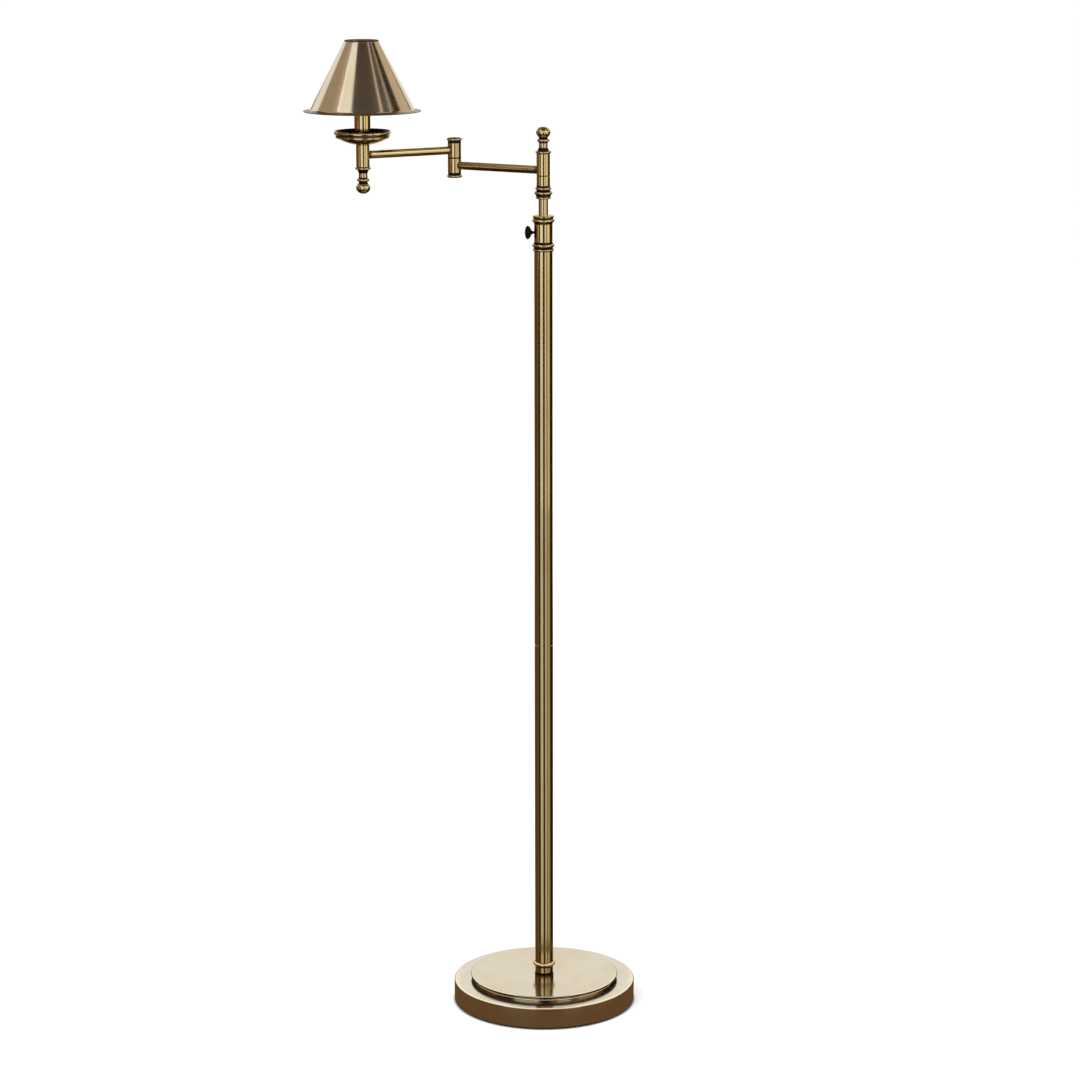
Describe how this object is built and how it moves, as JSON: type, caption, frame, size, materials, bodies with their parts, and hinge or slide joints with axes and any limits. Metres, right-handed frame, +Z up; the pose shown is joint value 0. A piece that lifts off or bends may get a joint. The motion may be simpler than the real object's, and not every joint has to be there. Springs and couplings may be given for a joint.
{
  "type": "bridge floor lamp",
  "caption": "Floor lamp with a weighted round foot, a telescopic post and a jointed swing arm that carries a candle tube with a conical metal shade.",
  "frame": {"origin": "centre of the felt under the foot, on the floor, below the post's axis", "axes": "+Z up along the post; the arm and the lamp head reach towards -X; the front of the lamp faces -Y"},
  "size_m": [0.5291, 0.302, 1.5906],
  "materials": {
    "felt": "dense felt",
    "ballast_iron": "rough cast",
    "rim_brass": "antique, fine turned satin",
    "plate_brass": "circular brushed, lacquered",
    "tube_brass": "antique, drawn satin tube",
    "turned_brass": "antique, turned and polished with dark grooves",
    "dark_brass": "dark antique",
    "spun_brass": "antique, spun and polished",
    "shade_brass": "antique, spun satin",
    "contact_brass": "bright",
    "plain_steel": "plain zinc plated",
    "clip_wire": "drawn wire",
    "black_plastic": "moulded",
    "ivory_plastic": "turned plastic",
    "bakelite": "moulded",
    "clear_glass": "clear blown"
  },
  "bodies": {
    "stand": {"felt_pad": "felt", "base_weight": "ballast_iron", "base_cover": "rim_brass", "step_plate": "plate_brass", "cord_bush": "black_plastic", "clamp_nut": "plain_steel", "clamp_washer": "plain_steel", "tie_nipple": "plain_steel", "step_spacer": "plain_steel", "pole_foot": "turned_brass", "lower_tube": "tube_brass", "tube_coupling": "plain_steel", "upper_tube": "tube_brass", "height_collar": "turned_brass", "collar_liner": "ivory_plastic"},
    "clamp_slug": {"clamp_pad": "contact_brass"},
    "thumb_knob": {"thumb_screw": "dark_brass"},
    "stem": {"stem_tube": "tube_brass", "guide_bush": "ivory_plastic", "lower_knuckle": "turned_brass", "post_spindle": "plain_steel", "post_washers": "black_plastic", "post_finial": "turned_brass"},
    "inner_arm": {"post_hub": "turned_brass", "inner_arm_tube": "tube_brass", "elbow_lower_hub": "turned_brass", "elbow_pivot": "plain_steel", "elbow_washers": "black_plastic", "elbow_bottom_cap": "turned_brass", "elbow_top_cap": "turned_brass"},
    "outer_arm": {"elbow_upper_hub": "turned_brass", "outer_arm_tube": "tube_brass", "head_hub": "turned_brass", "head_finial": "turned_brass", "head_nipple": "plain_steel", "drip_pan": "spun_brass", "candle_tube": "tube_brass", "lampholder": "bakelite", "holder_shell": "plain_steel", "holder_contact": "contact_brass", "bulb_cap": "plain_steel", "bulb_glass": "clear_glass"},
    "lamp_shade": {"shade": "shade_brass", "shade_clip": "clip_wire", "clip_ring": "clip_wire"}
  },
  "joints": [
    {"name": "stem_height", "type": "slide", "parent": "stand", "child": "stem", "axis": [0, 0, 1], "range_m": [-0.022, 0.2]},
    {"name": "clamp_travel", "type": "slide", "parent": "stand", "child": "clamp_slug", "axis": [-1, 0, 0], "range_m": [0, 0.0016]},
    {"name": "thumb_turn", "type": "hinge", "parent": "clamp_slug", "child": "thumb_knob", "pos_m": [-0.024, 0, 1.2867], "axis": [-1, 0, 0], "range_deg": [0, 720]},
    {"name": "post_swivel", "type": "hinge", "parent": "stem", "child": "inner_arm", "pos_m": [0, 0, 1.3858], "axis": [0, 0, 1], "range_deg": [-170, 170]},
    {"name": "elbow_swivel", "type": "hinge", "parent": "inner_arm", "child": "outer_arm", "pos_m": [-0.14289, 0.0825, 1.398], "axis": [0, 0, 1], "range_deg": [-215, 95]},
    {"name": "shade_lift", "type": "slide", "parent": "outer_arm", "child": "lamp_shade", "axis": [0, 0, 1], "range_m": [0, 0.12]}
  ],
  "couplings": [
    {"joint": "thumb_turn", "follows": "clamp_travel", "rad_per_m": 7853}
  ]
}
